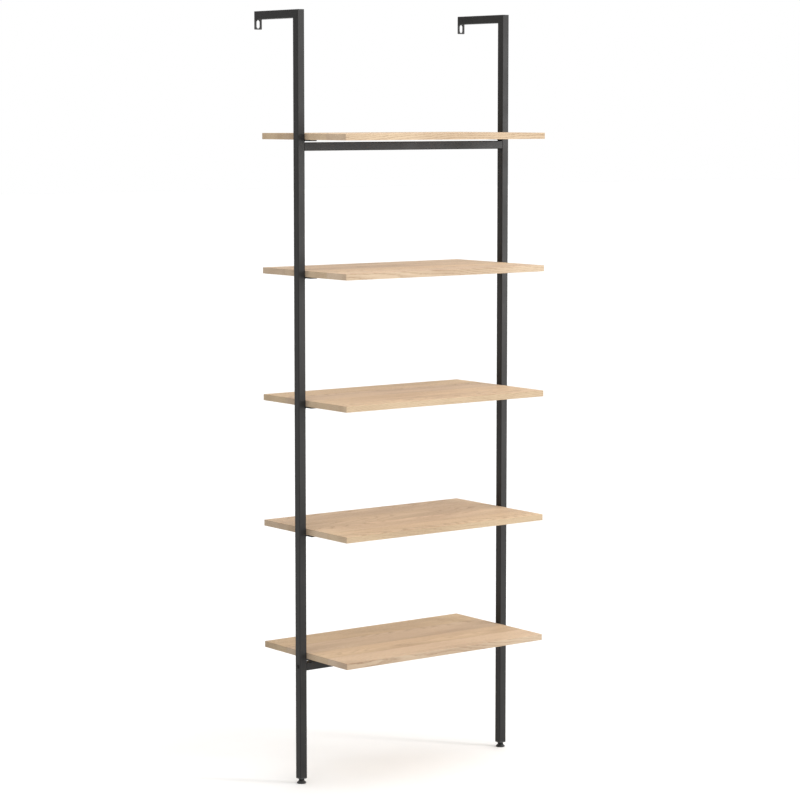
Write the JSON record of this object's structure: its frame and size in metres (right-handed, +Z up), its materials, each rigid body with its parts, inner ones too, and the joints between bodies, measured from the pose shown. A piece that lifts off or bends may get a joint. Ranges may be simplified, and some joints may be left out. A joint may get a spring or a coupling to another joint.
{
  "type": "ladder shelf",
  "caption": "Tall wall-fixed ladder shelf: open oak-look boards between slim black square-tube uprights, with wall arms, slotted wall plates and screw-adjusted feet.",
  "frame": {"origin": "on the floor, under the middle of the shelf's bounding box", "axes": "+X to the right as seen from the front, +Y from the front towards the wall, +Z up"},
  "size_m": [0.644, 0.346, 1.855],
  "materials": {
    "frame_steel": "fine-textured matt black powder coat",
    "oak_board": "light oak, matt, grain along the board's length",
    "black_plastic": "moulded black plastic, lightly textured",
    "black_hardware": "black-passivated steel, satin",
    "zinc_steel": "bright zinc-plated steel"
  },
  "bodies": {
    "shelf": {"left_upright": "frame_steel", "left_wall_arm": "frame_steel", "left_wall_plate": "frame_steel", "right_upright": "frame_steel", "right_wall_arm": "frame_steel", "right_wall_plate": "frame_steel", "upper_crossbar": "frame_steel", "lower_crossbar": "frame_steel", "lower_crossbar_blocks": "zinc_steel", "lower_crossbar_bolts": "black_hardware", "board_1": "oak_board", "board_screws_1": "black_hardware", "left_bracket_1": "frame_steel", "right_bracket_1": "frame_steel", "board_2": "oak_board", "board_screws_2": "black_hardware", "left_bracket_2": "frame_steel", "right_bracket_2": "frame_steel", "board_3": "oak_board", "board_screws_3": "black_hardware", "left_bracket_3": "frame_steel", "right_bracket_3": "frame_steel", "board_4": "oak_board", "board_screws_4": "black_hardware", "left_bracket_4": "frame_steel", "right_bracket_4": "frame_steel", "board_5": "oak_board", "board_screws_5": "black_hardware", "left_bracket_5": "frame_steel", "right_bracket_5": "frame_steel", "left_foot_plug": "black_plastic", "left_foot_nut": "zinc_steel", "right_foot_plug": "black_plastic", "right_foot_nut": "zinc_steel"},
    "left_foot_base": {"left_foot_pad": "black_plastic"},
    "left_foot_screw": {"left_foot_stud": "black_hardware"},
    "right_foot_base": {"right_foot_pad": "black_plastic"},
    "right_foot_screw": {"right_foot_stud": "black_hardware"}
  },
  "joints": [
    {"name": "left_foot_height", "type": "slide", "parent": "shelf", "child": "left_foot_base", "axis": [0, 0, -1], "range_m": [0, 0.01]},
    {"name": "left_foot_turn", "type": "hinge", "parent": "left_foot_base", "child": "left_foot_screw", "pos_m": [-0.31, 0.002, 0.009], "axis": [0, 0, -1], "range_deg": [0, 2880]},
    {"name": "right_foot_height", "type": "slide", "parent": "shelf", "child": "right_foot_base", "axis": [0, 0, -1], "range_m": [0, 0.01]},
    {"name": "right_foot_turn", "type": "hinge", "parent": "right_foot_base", "child": "right_foot_screw", "pos_m": [0.31, 0.002, 0.009], "axis": [0, 0, -1], "range_deg": [0, 2880]}
  ],
  "couplings": [
    {"joint": "left_foot_height", "follows": "left_foot_turn", "m_per_rad": 0.0001989},
    {"joint": "right_foot_height", "follows": "right_foot_turn", "m_per_rad": 0.0001989}
  ]
}
